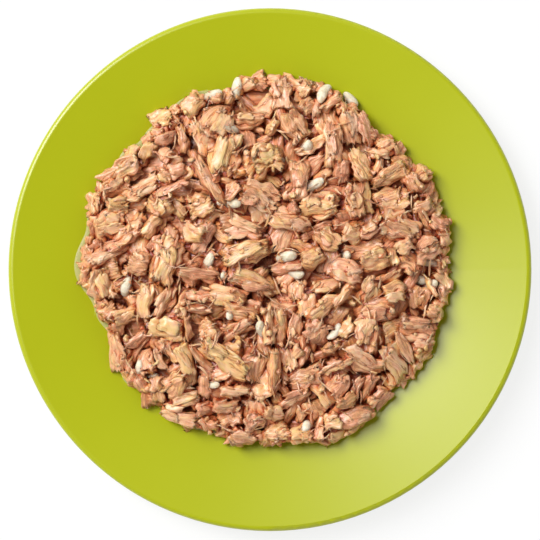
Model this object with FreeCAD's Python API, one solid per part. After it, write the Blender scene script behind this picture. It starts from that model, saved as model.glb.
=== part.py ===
"""A serving of flaked tuna cat food heaped on a small round plate.

The plate is one glazed piece: a flat well, a wide rim that rises as a shallow cone, a rounded lip
and a foot ring underneath. The food is one loose heap of flakes turned out of a can: a low mound
with an uneven outline and a top made of overlapping flakes. It lies on the plate and follows its
well and rim.

Units are millimetres and +Z is up. The origin is the centre of the plate's foot, on the surface
that the plate stands on.
"""
import FreeCAD, Part
import math
import os
import random

import Mesh
from FreeCAD import Vector

# ---------------------------------------------------------------- driving dimensions: the plate
PLATE_DIAMETER = 150.0
WELL_DIAMETER = 88.0        # the flat floor, before it is blended into the rim
WELL_BLEND = 16.0           # radius between the floor and the rim
RIM_SLOPE = 10.0            # degrees above level
PLATE_WALL = 3.8            # thickness of the floor and of the rim, measured upright
LIP_TOP_RADIUS = 1.3        # round from the rim's top to its edge
LIP_UNDER_RADIUS = 0.9      # round from the edge to the underside
UNDERSIDE_BLEND = 2.2       # radius between the foot ring and the rim's underside
FOOT_DIAMETER = 84.0        # outside of the foot ring
FOOT_WIDTH = 4.0
FOOT_HEIGHT = 2.6           # from the standing surface to the underside of the floor
FOOT_DRAFT = 0.6            # how far each side of the foot ring leans in towards its base
FOOT_ROUND = 0.9            # rounds on the foot ring
ROUND_LIMIT = 0.96          # the share of a straight side that the rounds at its ends may take
ROUND_LEAST = 1e-6          # a corner with less than this stays sharp

# ---------------------------------------------------------------- driving dimensions: the heap
HEAP_HEIGHT = 12.0          # of the mound above the plate, before the flakes on it
HEAP_SHOULDER = 3.6         # power of the mound's section: more is a flatter top
HEAP_FLANK = 1.9            # power of the mound's section: more is a steeper side
# How far the heap reaches from the plate's axis, every 15 degrees anticlockwise from +X.
HEAP_REACH = (51.5, 52.5, 53.0, 50.5, 53.5, 56.0, 56.5, 54.0, 55.0, 52.0, 54.0, 53.5,
              54.5, 50.5, 52.0, 52.0, 51.5, 51.5, 51.5, 52.5, 52.5, 50.5, 52.0, 51.5)
FRINGE = 1.3                # how far single flakes stick out of that line or leave a notch in it
FRINGE_LENGTH = 5.0         # typical width of one such flake along the outline

FLAKE_COUNT = 230
FLAKE_LENGTH = (10.0, 22.0)
FLAKE_WIDTH = (4.5, 9.0)
FLAKE_THICKNESS = (1.6, 3.6)
FLAKE_LEAN = 1.5            # how far one end of a flake tips up and the other down, at most
FLAKE_SINK = 1.2            # how deep the flakes lie in the mound
HEAP_SEED = 85
FLAKE_END_POWER = 6         # how squarely a flake's ends drop off
FLAKE_SIDE_POWER = 4        # how squarely its sides drop off
FRINGE_POWER = 8            # how soon the outline's steps fade inwards
RELIEF_POWER = 12           # how close to the outline the flakes on top reach

# ---------------------------------------------------------------- fineness of the heap's facets
HEAP_RINGS = 30             # from the crown down to the outline
POINTS_PER_RING = 6         # each ring has this many more points than the one inside it
BASE_RINGS = 5              # under the heap, from the outline inwards
BASE_RING_STEP = 0.05       # their spacing, as a share of the reach
SECTION_STEPS = 2000        # along the mound's section, to space the rings evenly
SEW_TOLERANCE = 0.001

PLATE_RADIUS = PLATE_DIAMETER / 2
WELL_RADIUS = WELL_DIAMETER / 2
FLOOR_Z = FOOT_HEIGHT + PLATE_WALL
RIM_RISE = math.tan(math.radians(RIM_SLOPE))    # upwards per millimetre outwards


# ---------------------------------------------------------------- the plate
def rim_top_z(radius):
    """Height of the rim's cone, carried on as a straight line."""
    return FLOOR_Z + (radius - WELL_RADIUS) * RIM_RISE


def plate_top_z(radius):
    """Height of the plate's upper surface inside its lip."""
    tangent = WELL_BLEND * math.tan(math.radians(RIM_SLOPE) / 2)
    if radius <= WELL_RADIUS - tangent:
        return FLOOR_Z
    into_blend = radius - (WELL_RADIUS - tangent)
    if into_blend < WELL_BLEND * math.sin(math.radians(RIM_SLOPE)):
        return FLOOR_Z + WELL_BLEND - math.sqrt(WELL_BLEND ** 2 - into_blend ** 2)
    return rim_top_z(radius)


def rounded_wire(corners):
    """A closed wire in the XZ plane through (radius, z, round) corners, each rounded by an arc.

    Where two rounds would meet, the side between them limits both.
    """
    count = len(corners)
    places = [Vector(r, 0, z) for r, z, _ in corners]
    sides = [places[(i + 1) % count] - places[i] for i in range(count)]
    halves = [(-sides[i - 1]).getAngle(sides[i]) / 2 for i in range(count)]
    reaches = [corners[i][2] / math.tan(halves[i]) for i in range(count)]
    room = [ROUND_LIMIT * sides[i].Length / max(reaches[i] + reaches[(i + 1) % count], ROUND_LEAST)
            for i in range(count)]
    edges, ends = [], []
    for i, at in enumerate(places):
        back, ahead = -sides[i - 1] / sides[i - 1].Length, sides[i] / sides[i].Length
        reach = reaches[i] * min(1, room[i - 1], room[i])
        start, stop = at + back * reach, at + ahead * reach
        ends.append((start, stop))
        if reach > ROUND_LEAST:
            radius = reach * math.tan(halves[i])
            to_middle = radius / math.sin(halves[i]) - radius
            edges.append(Part.Arc(start, at + (back + ahead).normalize() * to_middle, stop).toShape())
    for i, (_, stop) in enumerate(ends):
        edges.append(Part.makeLine(stop, ends[(i + 1) % count][0]))
    return Part.Wire(Part.__sortEdges__(edges))


def make_plate():
    """The whole plate, turned about its axis."""
    foot_outer = FOOT_DIAMETER / 2
    foot_inner = foot_outer - FOOT_WIDTH
    lip_z = rim_top_z(PLATE_RADIUS)
    corners = [
        (0, FLOOR_Z, 0),
        (WELL_RADIUS, FLOOR_Z, WELL_BLEND),
        (PLATE_RADIUS, lip_z, LIP_TOP_RADIUS),
        (PLATE_RADIUS, lip_z - PLATE_WALL, LIP_UNDER_RADIUS),
        (foot_outer, FOOT_HEIGHT, UNDERSIDE_BLEND),
        (foot_outer - FOOT_DRAFT, 0, FOOT_ROUND),
        (foot_inner + FOOT_DRAFT, 0, FOOT_ROUND),
        (foot_inner, FOOT_HEIGHT, FOOT_ROUND),
        (0, FOOT_HEIGHT, 0),
    ]
    section = Part.Face(rounded_wire(corners))
    return section.revolve(Vector(0, 0, 0), Vector(0, 0, 1), 360)


# ---------------------------------------------------------------- the heap
def smooth_around(values, angle):
    """The value at an angle, in degrees, on a smooth closed curve through evenly spaced values."""
    place = (angle / 360.0 * len(values)) % len(values)
    i = int(place)
    t = place - i
    before, here, after, beyond = (values[(i + k) % len(values)] for k in (-1, 0, 1, 2))
    return here + 0.5 * t * (after - before + t * (2 * before - 5 * here + 4 * after - beyond
                                                   + t * (3 * (here - after) + beyond - before)))


def make_fringe(chance):
    """One step in or out for each flake along the outline."""
    around = 2 * math.pi * sum(HEAP_REACH) / len(HEAP_REACH)
    return [chance.uniform(-FRINGE, FRINGE) for _ in range(round(around / FRINGE_LENGTH))]


def heap_section(share):
    """Height of the mound's section, from 1 at its middle to 0 at its outline."""
    return (1 - min(share, 1.0) ** HEAP_SHOULDER) ** (1 / HEAP_FLANK)


def ring_shares():
    """Shares of the reach at which the rings lie, evenly spaced along the mound's section."""
    mean_reach = sum(HEAP_REACH) / len(HEAP_REACH)
    shares = [1 - (1 - i / SECTION_STEPS) ** 2 for i in range(SECTION_STEPS + 1)]
    along = [0.0]
    for inner, outer in zip(shares, shares[1:]):
        rise = (heap_section(outer) - heap_section(inner)) * HEAP_HEIGHT
        along.append(along[-1] + math.hypot((outer - inner) * mean_reach, rise))
    found, i = [], 0
    for ring in range(HEAP_RINGS + 1):
        while along[i] < along[-1] * ring / HEAP_RINGS - 1e-9:
            i += 1
        found.append(shares[i])
    return found


def make_flakes(chance):
    """The flakes on top: centre, heading, half length, half width, thickness and lean of each."""
    flakes = []
    for _ in range(FLAKE_COUNT):
        angle = chance.uniform(0, 360)
        out = math.sqrt(chance.random()) * smooth_around(HEAP_REACH, angle)
        heading = chance.uniform(0, math.pi)
        flakes.append((out * math.cos(math.radians(angle)), out * math.sin(math.radians(angle)),
                       math.cos(heading), math.sin(heading),
                       chance.uniform(*FLAKE_LENGTH) / 2, chance.uniform(*FLAKE_WIDTH) / 2,
                       chance.uniform(*FLAKE_THICKNESS), chance.uniform(-FLAKE_LEAN, FLAKE_LEAN)))
    return flakes


def flakes_height(flakes, x, y):
    """How far the highest flake over a point stands above the mound."""
    highest = 0.0
    for cx, cy, along_x, along_y, half_length, half_width, thickness, lean in flakes:
        dx, dy = x - cx, y - cy
        lengthwise = (dx * along_x + dy * along_y) / half_length
        crosswise = (dy * along_x - dx * along_y) / half_width
        if abs(lengthwise) < 1 and abs(crosswise) < 1:
            inside = (1 - lengthwise ** FLAKE_END_POWER) * (1 - crosswise ** FLAKE_SIDE_POWER)
            highest = max(highest, (thickness + lean * lengthwise) * math.sqrt(inside))
    return highest


def heap_rings(flakes, fringe):
    """The rings of points on the heap's upper surface, from the crown to the outline."""
    rings = []
    for number, share in enumerate(ring_shares()):
        count = max(1, POINTS_PER_RING * number)
        ring = []
        for i in range(count):
            angle = 360.0 * i / count
            reach = smooth_around(HEAP_REACH, angle)
            reach += smooth_around(fringe, angle) * share ** FRINGE_POWER
            radius = share * reach
            x, y = radius * math.cos(math.radians(angle)), radius * math.sin(math.radians(angle))
            relief = (flakes_height(flakes, x, y) - FLAKE_SINK) * (1 - share ** RELIEF_POWER)
            z = plate_top_z(radius) + HEAP_HEIGHT * heap_section(share) + relief
            ring.append((x, y, z))
        rings.append(ring)
    return rings


def ring_between(outer, inner):
    """Triangles between two rings whose points start at the same angle, seen from outside."""
    triangles = []
    i, j = 0, 0
    while i < len(outer) or j < len(inner):
        take_outer = (i + 1) * len(inner) <= (j + 1) * len(outer) or len(inner) == 1
        o, n = outer[i % len(outer)], inner[j % len(inner)]
        if take_outer and i < len(outer):
            triangles.append((n, o, outer[(i + 1) % len(outer)]))
            i += 1
        elif len(inner) > 1:
            triangles.append((n, o, inner[(j + 1) % len(inner)]))
            j += 1
        else:
            break
    return triangles


def base_ring(outline, share):
    """A ring on the plate under the heap, at a share of the outline's reach."""
    ring = []
    for x, y, _ in outline:
        ring.append((x * share, y * share, plate_top_z(math.hypot(x, y) * share)))
    return ring


def make_heap():
    """The heap of flakes as one closed solid that lies on the plate."""
    chance = random.Random(HEAP_SEED)
    flakes = make_flakes(chance)
    rings = heap_rings(flakes, make_fringe(chance))
    triangles = []
    for inner, outer in zip(rings, rings[1:]):
        triangles += ring_between(outer, inner)
    under = [rings[-1]]
    for number in range(1, BASE_RINGS + 1):
        under.append(base_ring(rings[-1], 1 - number * BASE_RING_STEP))
    under.append([(0.0, 0.0, FLOOR_Z)])
    for outer, inner in zip(under, under[1:]):
        triangles += [(a, c, b) for a, b, c in ring_between(outer, inner)]
    shape = Part.Shape()
    shape.makeShapeFromMesh(Mesh.Mesh(triangles).Topology, SEW_TOLERANCE)
    heap = Part.makeSolid(shape)
    if heap.Volume < 0:
        heap.reverse()
    return heap


def main():
    os.makedirs("parts", exist_ok=True)
    for node, solid in (("plate", make_plate()), ("tuna_heap", make_heap())):
        box = solid.BoundBox
        print(node, "valid", solid.isValid(), "solids", len(solid.Solids), "faces", len(solid.Faces),
              "volume cm3", round(solid.Volume / 1000, 2),
              "size", [round(v, 2) for v in (box.XLength, box.YLength, box.ZLength)])
        solid.exportStep("parts/" + node + ".step")


main()
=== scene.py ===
"""The looks of a plate of flaked tuna cat food: a glazed lime green plate from the CAD frame, and a
heap of fibrous flakes, shreds, crumbs and rice grains laid one on another over a smaller core.

Lengths in this script are millimetres in the CAD frame, and become metres where meshes are made.
"""
import math
from typing import NamedTuple

import bpy
import numpy as np
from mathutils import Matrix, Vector
from mathutils.bvhtree import BVHTree


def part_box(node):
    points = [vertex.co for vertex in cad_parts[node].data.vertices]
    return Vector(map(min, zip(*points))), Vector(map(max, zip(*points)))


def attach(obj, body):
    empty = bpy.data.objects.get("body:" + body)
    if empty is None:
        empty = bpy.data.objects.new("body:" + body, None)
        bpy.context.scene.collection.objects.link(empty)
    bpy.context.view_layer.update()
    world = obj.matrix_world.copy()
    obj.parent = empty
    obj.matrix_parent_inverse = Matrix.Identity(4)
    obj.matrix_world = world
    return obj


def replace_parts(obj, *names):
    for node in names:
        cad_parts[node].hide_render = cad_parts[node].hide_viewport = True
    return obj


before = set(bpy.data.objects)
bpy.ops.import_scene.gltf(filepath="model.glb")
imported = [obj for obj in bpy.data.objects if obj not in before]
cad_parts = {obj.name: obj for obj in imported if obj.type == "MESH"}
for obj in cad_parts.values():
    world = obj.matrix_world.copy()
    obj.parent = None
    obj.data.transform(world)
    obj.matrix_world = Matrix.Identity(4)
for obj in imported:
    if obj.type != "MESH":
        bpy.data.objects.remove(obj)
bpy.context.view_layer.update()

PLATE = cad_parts["plate"]
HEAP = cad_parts["tuna_heap"]
MM = 0.001
KEY_SEED = 4011  # of every random draw
chance = np.random.default_rng(KEY_SEED)
between = chance.uniform


# ---- small tools
def eased(t):
    """0 to 1 as t goes from 0 to 1, starting and ending level."""
    return t * t * (3 - 2 * t)


def smooth_line(count, knots, size=1.0):
    """count values of a smooth random curve that stays within -size and size."""
    heights = between(-size, size, knots)
    at = np.linspace(0, knots - 1, count)
    low = np.minimum(at.astype(int), knots - 2)
    t = eased(at - low)
    return heights[low] * (1 - t) + heights[low + 1] * t


def smooth_loop(count, knots, size=1.0, draw=between):
    """As smooth_line, but the curve closes on itself."""
    heights = draw(-size, size, knots)
    at = np.linspace(0, knots, count, endpoint=False)
    low = at.astype(int)
    t = eased(at - low)
    return heights[low % knots] * (1 - t) + heights[(low + 1) % knots] * t


def rounded(t):
    """1 at 0, falling smoothly to 0 at -1 and 1."""
    return np.clip(1 - t * t, 0, 1)


def degree_of(x, y):
    """The whole degree, from 0 to 359, in whose direction each point lies."""
    return np.floor(np.degrees(np.arctan2(y, x))).astype(int) % 360


class Spot(NamedTuple):
    """Where a bit lies: its middle, the way it points, and the size of its footprint."""
    x: float
    y: float
    heading: float
    length: float
    width: float

    def beside(self, out, aside):
        """The point so far along the bit and so far to its left, from its middle."""
        c, s = math.cos(self.heading), math.sin(self.heading)
        return self.x + out * c - aside * s, self.y + out * s + aside * c


# ---- the heap's grid of heights
CELL = 0.4  # spacing of the grid
GRID_MARGIN = 6.0  # how far the grid reaches past the heap
EDGE_BAND = 9.0  # width of the band along the outline that counts as the heap's edge
CORE_DEPTH = 6.0  # from the heap's outer surface down to the core, inside that band
CORE_AT_EDGE = 0.75  # share of that depth at the outline
LIMIT_REACH = 2.4  # a bit stands no higher than the heap's surface within this reach
LIMIT_ABOVE = 0.9  # and so much more
LIMIT_ON_PLATE = 2.6  # or than this above the bare plate
CEILING_GAP = 0.05  # left free under the highest point of the CAD heap
PLATE_GAP = 0.03  # and over the plate
MOST_ALONG = 0.62  # the steepest that a bit lies lengthwise, as rise over run
MOST_ACROSS = 0.8  # and crosswise
MOST_BEND = (-0.16, 0.12)  # of its ends, down and up, as shares of half its length
TOP_SIDE, TOP_MIDDLE = 0.35, 0.65  # height of its top at its sides, and what its middle adds

# Places under a bit where it feels for the ground, in shares of its half sizes, and the fit to them.
FOOT_U, FOOT_V = (g.ravel() for g in np.meshgrid(np.linspace(-0.92, 0.92, 9), np.linspace(-0.8, 0.8, 5)))
FOOT_MATRIX = np.stack([np.ones_like(FOOT_U), FOOT_U, FOOT_V, FOOT_U ** 2], 1)
FOOT_SOLVER = np.linalg.pinv(FOOT_MATRIX)


def tree_of(node):
    """A ray caster for a CAD node, in metres."""
    mesh = node.data
    mesh.calc_loop_triangles()
    corners = [v.co.copy() for v in mesh.vertices]
    return BVHTree.FromPolygons(corners, [tuple(t.vertices) for t in mesh.loop_triangles])


def spread(grid, reach):
    """The highest value within a square that reaches so far each way."""
    steps = int(reach / CELL)
    for axis in (0, 1):
        grid = np.max([np.roll(grid, step, axis) for step in range(-steps, steps + 1)], axis=0)
    return grid


def grid_line(low, high):
    """The grid's places along one axis, on which the heap goes from low to high, in metres."""
    start = low / MM - GRID_MARGIN
    return start + CELL * np.arange(int((high / MM + GRID_MARGIN - start) / CELL) + 1)


class Ground:
    """The heap as it builds up: a grid of heights over the plate, and the surface to be reached."""

    def __init__(self):
        low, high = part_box("tuna_heap")
        self.xs, self.ys = grid_line(low.x, high.x), grid_line(low.y, high.y)
        self.plate = self.cast(tree_of(PLATE), fallback=0.0)
        top = self.cast(tree_of(HEAP), fallback=-1.0)
        self.inside = top > 0
        self.target = np.where(self.inside, top, self.plate)
        self.measure_reach()
        depth = CORE_DEPTH * (CORE_AT_EDGE + (1 - CORE_AT_EDGE) * self.share_in)
        self.core = np.where(self.inside, np.maximum(self.target - depth, self.plate), self.plate)
        self.height = self.core.copy()
        ceiling = high.z / MM - CEILING_GAP
        near = spread(np.where(self.inside, self.target, 0), LIMIT_REACH)
        self.limit = np.minimum(np.maximum(near + LIMIT_ABOVE, self.plate + LIMIT_ON_PLATE), ceiling)

    def cast(self, tree, fallback):
        """Heights of a node's top over the grid."""
        down = Vector((0, 0, -1))
        above = 0.1  # metres, well over the object
        heights = np.full((len(self.ys), len(self.xs)), fallback)
        for j, y in enumerate(self.ys):
            for i, x in enumerate(self.xs):
                hit = tree.ray_cast(Vector((x * MM, y * MM, above)), down)[0]
                if hit is not None:
                    heights[j, i] = hit.z / MM
        return heights

    def measure_reach(self):
        """The heap's reach at each degree, and how far in each cell lies, from 0 at the outline."""
        x, y = np.meshgrid(self.xs, self.ys)
        radius = np.hypot(x, y)
        degree = degree_of(x, y)
        far = np.zeros(360)
        np.maximum.at(far, degree[self.inside], radius[self.inside])
        self.far = np.convolve(np.r_[far[-2:], far, far[:2]], np.ones(5) / 5, "valid")
        gap = self.far[degree] - radius
        self.share_in = np.clip(gap / EDGE_BAND, 0, 1)

    def reach(self, x, y):
        """The heap's reach in a point's direction."""
        return self.far[degree_of(x, y)]

    def index(self, x, y):
        """The row and column of the cell that each point lies in."""
        return tuple(np.clip(((at - line[0]) / CELL + 0.5).astype(int), 0, len(line) - 1)
                     for at, line in ((y, self.ys), (x, self.xs)))

    def lack(self):
        """How far the heap lies under its outer surface on average, away from its edge."""
        return (self.target - self.height)[self.share_in > 0.5].mean()

    def holds(self, spot, spare):
        """True if both ends of a bit stay within the heap's outline, or so much past it."""
        for way in (-0.5, 0.5):
            x, y = spot.beside(way * spot.length, 0)
            if math.hypot(x, y) > self.reach(x, y) + spare:
                return False
        return True

    def lay(self, spot, firm, sink):
        """Where a bit comes to rest: a tilted, slightly bent surface.

        Gives z, rise lengthwise, rise crosswise and bend, for a footprint from -1 to 1 each way. firm
        is the share of the ground under the bit that it stands above, before it sinks in a little.
        """
        half, side = spot.length / 2, spot.width / 2
        under = self.height[self.index(*spot.beside(FOOT_U * half, FOOT_V * side))]
        fit = FOOT_SOLVER @ under
        fit[1] = np.clip(fit[1], -MOST_ALONG * half, MOST_ALONG * half)
        fit[2] = np.clip(fit[2], -MOST_ACROSS * side, MOST_ACROSS * side)
        fit[3] = np.clip(fit[3], MOST_BEND[0] * half, MOST_BEND[1] * half)
        left = under - FOOT_MATRIX @ fit
        fit[0] += np.quantile(left, firm) - sink
        return fit

    def settle(self, points, fit):
        """Sinks a bit that stands above the heap's surface, and keeps it out of the plate."""
        where = self.index(points[:, 0], points[:, 1])
        over = max((points[:, 2] - self.limit[where]).max(), 0)
        fit[0] -= over
        points[:, 2] = np.maximum(points[:, 2] - over, self.plate[where] + PLATE_GAP)
        return points

    def cover(self, spot, thick, fit):
        """Raises the grid to the top of a bit that has been laid."""
        x, y, heading, length, width = spot
        half = max(length, width) / 2
        j0, i0 = (int(v) for v in self.index(np.array(x - half), np.array(y - half)))
        j1, i1 = (int(v) + 1 for v in self.index(np.array(x + half), np.array(y + half)))
        gx, gy = np.meshgrid(self.xs[i0:i1] - x, self.ys[j0:j1] - y)
        c, s = math.cos(heading), math.sin(heading)
        u = (gx * c + gy * s) / (length / 2)
        v = (gy * c - gx * s) / (width / 2)
        under = (np.abs(u) < 1) & (np.abs(v) < 1)
        profile = TOP_SIDE + TOP_MIDDLE * (np.sqrt(rounded(v)) * np.sqrt(rounded(u ** 3)))
        top = fit[0] + fit[1] * u + fit[2] * v + fit[3] * u * u + thick * profile
        patch = self.height[j0:j1, i0:i1]
        patch[under] = np.maximum(patch[under], top[under])


# ---- meshes of single bits
SECTION_POINTS = 97  # from which a section's length is measured
LUMP = 0.12  # swellings on a bit, as a share of its thickness
LUMP_THICK = 2.0  # but no more than a bit this thick has
LUMP_WAVES = 5  # crossing waves that make them up
LUMP_PITCH = (0.6, 2.4)  # radians for each millimetre of such a wave
CLEFT = 0.6  # depth between fibres, as a share of their width, that counts as the deepest
END_ROUNDING = 2.6  # 1 over the share of the length in which an end closes
CLOSER_RINGS = 0.45  # how much closer the rings lie at the ends
CAP_INSET = 0.35  # of a cap's middle point towards the next ring
# painted shade: the unshaded share of a cap's middle point
CAP_UNSHADED = 0.4


def ring_quads(rings, count, closed=False):
    """Quads between rings of count points each, and from the last ring to the first if closed."""
    ring, side = np.meshgrid(np.arange(rings if closed else rings - 1), np.arange(count), indexing="ij")
    ring, beyond = ring * count, (ring + 1) % rings * count
    after = (side + 1) % count
    return np.stack([ring + side, beyond + side, beyond + after, ring + after], 2).reshape(-1, 4)


def tube_faces(rings, count):
    """Quads of a tube of rings with count points each, and triangles of its two caps, whose middle
    points come after all the rings."""
    side = np.arange(count)
    after = (side + 1) % count
    start, end = rings * count, (rings - 1) * count
    fans = np.vstack([np.stack([np.full(count, start), after, side], 1),
                      np.stack([np.full(count, start + 1), end + side, end + after], 1)])
    return ring_quads(rings, count)[:, [0, 3, 2, 1]], fans


def section(width, thick, box):
    """Points round a flattened section, squarer with a greater box, and the way round to each."""
    angle = np.linspace(-math.pi / 2, 1.5 * math.pi, SECTION_POINTS)
    c, s = np.cos(angle), np.sin(angle)
    y = width / 2 * np.sign(c) * np.abs(c) ** (2 / box)
    z = thick / 2 * np.sign(s) * np.abs(s) ** (2 / box)
    way = np.r_[0, np.cumsum(np.hypot(np.diff(y), np.diff(z)))]
    return y, z, way


def lumps(along, around, size):
    """Uneven swellings over a bundle's surface, of a few millimetres across."""
    total = np.zeros(np.broadcast(along, around).shape)
    for _ in range(LUMP_WAVES):
        first, second = between(*LUMP_PITCH, 2) * chance.choice((-1, 1), 2)
        total = total + np.sin(along * first + around * second + between(0, 2 * math.pi))
    return total * size / LUMP_WAVES ** 0.5


def torn(count, most):
    """How far each line of points falls short of a torn end, at most so much."""
    return most * (0.6 * chance.random(count) + 0.4 * (smooth_loop(count, 5) + 1) / 2)


def fibre_bundle(length, width, thick, *, fibre, rings, box, taper, ragged, groove, twist, turn,
                 cup=0.0, wave=0.12):
    """A torn bundle of muscle fibres lying along X: vertices, faces, fibre coordinates and, for each
    vertex, how unshaded it is for painted shade, from 1 on top to 0 in a cleft or underneath.

    fibre is the width of one fibre, ragged how uneven the torn ends are as a share of the length,
    groove the depth between fibres as a share of their width, twist and turn the angles through
    which it winds and bends sideways, and cup how far its edges stand above its middle.
    """
    y0, z0, way = section(width, thick, box)
    count = 2 * max(3, round(way[-1] / fibre))
    at = (np.arange(count) + between(-0.3, 0.3, count)) / count * way[-1]
    at = np.clip(at, 0, way[-1] * 0.9999)
    y, z = np.interp(at, way, y0), np.interp(at, way, z0)
    ny, nz = y / (width / 2) ** 2, z / (thick / 2) ** 2
    size = np.hypot(ny, nz)
    ny, nz = ny / size, nz / size
    valley = np.arange(count) % 2
    depth = np.where(valley, between(0.4, 1.2, count), between(-0.35, 0.15, count))
    depth = depth * groove * fibre

    u = np.linspace(0, 1, rings)
    u = (1 - CLOSER_RINGS) * u + CLOSER_RINGS * (0.5 - 0.5 * np.cos(math.pi * u))
    from_end = np.minimum(u, 1 - u) * END_ROUNDING
    ends = np.where(from_end > 1, 1, np.sqrt(np.clip(1 - (1 - from_end) ** 2, 0, 1)))
    close = 1 - taper + taper * ends
    wide = close * (1 + smooth_line(rings, 6, 0.26))
    high = close * (1 + smooth_line(rings, 5, 0.22))

    first = torn(count, ragged * length) + valley * 0.3 * fibre
    last = torn(count, ragged * length) + valley * 0.3 * fibre
    x = -length / 2 + first[None, :] + u[:, None] * (length - first - last)[None, :]
    fade = 0.75 + 0.5 * np.stack([smooth_line(rings, 4) for _ in range(count)], 1)
    cleft = np.clip(depth[None, :] * fade / (CLEFT * fibre), 0, 1)
    # painted shade: 1 on the top, less underneath and in the clefts
    unshaded = np.clip(0.5 + 1.4 * z / thick, 0, 1)[None, :] * (1 - 0.5 * cleft)
    inwards = depth[None, :] * fade + lumps(x, at[None, :], LUMP * min(thick, LUMP_THICK))
    y = y[None, :] * wide[:, None] - ny[None, :] * inwards
    z = z[None, :] * high[:, None] - nz[None, :] * inwards

    lean = twist * (u - 0.5) * 2
    c, s = np.cos(lean)[:, None], np.sin(lean)[:, None]
    y, z = y * c - z * s, y * s + z * c
    y = y + (smooth_line(rings, 4, wave) * width)[:, None]
    z = z + cup * (y / (width / 2)) ** 2
    if abs(turn) > 0.02:
        bend = length / turn
        angle = x / bend
        x, y = (bend - y) * np.sin(angle), bend - (bend - y) * np.cos(angle)

    points = np.stack([x, y, z], 2).reshape(-1, 3)
    caps = []
    for ring, inward in ((0, 1), (rings - 1, -1)):
        middle = points[ring * count:(ring + 1) * count].mean(0)
        beyond = points[(ring + inward) * count:(ring + inward + 1) * count].mean(0)
        caps.append(middle + (beyond - middle) * CAP_INSET)
    points = np.vstack([points, caps])
    grain = np.stack([np.repeat(u * length, count), np.tile(at, rings)], 1)
    grain = np.vstack([grain, [[0, way[-1] / 2], [length, way[-1] / 2]]])
    return points, *tube_faces(rings, count), grain, np.r_[unshaded.ravel(), CAP_UNSHADED, CAP_UNSHADED]


# ---- joined pieces
# Painted shade: a point's view of the sky is scaled down to this share in a flake's clefts and on its
# underside.
LEAST_UNSHADED = 0.92  # light left in a flake's clefts and on its underside
# The sky that each point sees past the flakes, from which the materials paint shade:
SKY_RINGS = ((74, 3), (50, 4), (26, 5))  # degrees above level, and how many looks around at that
SKY_START = 0.25  # how far off the surface each look starts
SKY_FAR = 7.0  # and how far it reaches
SKY_SOFTENED = 6  # passes that even it out between neighbouring points
SKY_SHARED = 0.6  # share that a point takes from its neighbours in each pass
GRAIN_STEP = 7.31  # between the fibre coordinates of one bit and the next


class Piece:
    """Gathers bits of one kind into a single mesh."""

    def __init__(self, name, slot):
        self.name, self.slot = name, slot
        self.bits = []
        self.size = 0

    def add(self, points, quads, fans, grain, tone, unshaded=1.0):
        """One more bit. Its tone runs from pink 0 to tan 1."""
        count = len(points)
        grain = np.column_stack([grain, np.full(count, len(self.bits) * GRAIN_STEP)])
        self.bits.append((points, quads + self.size, fans + self.size, grain, np.full(count, tone),
                          np.broadcast_to(unshaded, count)))
        self.size += count

    def joined(self):
        """Points, quads, fans, fibre coordinates, tones and unshaded shares, for painted shade, of all the
        bits.
        """
        return [np.concatenate(part) for part in zip(*self.bits)]

    def make(self, material, sky):
        """The finished object, with its fibre coordinates, tones and view of the sky, from which its
        material paints shade.
        """
        points, quads, fans, grain, tone, unshaded = self.joined()
        mesh = bpy.data.meshes.new(self.name)
        mesh.from_pydata((points * MM).tolist(), [], quads.tolist() + fans.tolist(), shade_flat=False)
        mesh.validate()
        # painted shade: how much sky each point sees, less in clefts and underneath
        open_sky = softened(mesh, openness(sky, points)) * (LEAST_UNSHADED + (1 - LEAST_UNSHADED) * unshaded)
        layer = mesh.attributes.new("grain", "FLOAT_VECTOR", "POINT")
        layer.data.foreach_set("vector", grain.astype(np.float32).ravel())
        for name, values in (("tone", tone), ("open", open_sky)):
            layer = mesh.attributes.new(name, "FLOAT", "POINT")
            layer.data.foreach_set("value", values.astype(np.float32))
        mesh.materials.append(material)
        made = bpy.data.objects.new(self.name, mesh)
        bpy.context.scene.collection.objects.link(made)
        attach(made, "root")
        return made


def sky_tree(pieces):
    """A ray caster for all the pieces together, in millimetres."""
    points, polygons, size = [], [], 0
    for piece in pieces:
        corners, quads, fans = piece.joined()[:3]
        points += corners.tolist()
        polygons += (quads + size).tolist() + (fans + size).tolist()
        size += piece.size
    return BVHTree.FromPolygons(points, polygons)


def openness(sky, points):
    """How much of the sky each point sees past the flakes around it, from 0 to 1."""
    total, looks = np.zeros(len(points)), 0
    for ring, (height, count) in enumerate(SKY_RINGS):
        up, level = math.sin(math.radians(height)), math.cos(math.radians(height))
        for look in range(count):
            angle = 2 * math.pi * (look + ring / 3) / count
            way = Vector((level * math.cos(angle), level * math.sin(angle), up))
            starts = (points + np.array(way) * SKY_START).tolist()
            far = [sky.ray_cast(start, way, SKY_FAR)[3] for start in starts]
            total += np.array([1.0 if d is None else d / SKY_FAR for d in far])
            looks += 1
    return total / looks


def softened(mesh, values):
    """Values at a mesh's points, each drawn towards the mean of its neighbours."""
    ends = np.zeros(2 * len(mesh.edges), np.int32)
    mesh.edges.foreach_get("vertices", ends)
    one, other = ends.reshape(-1, 2).T
    count = len(values)
    near = np.maximum(np.bincount(one, minlength=count) + np.bincount(other, minlength=count), 1)
    for _ in range(SKY_SOFTENED):
        total = (np.bincount(one, weights=values[other], minlength=count)
                 + np.bincount(other, weights=values[one], minlength=count))
        values = (1 - SKY_SHARED) * values + SKY_SHARED * total / near
    return values


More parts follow.
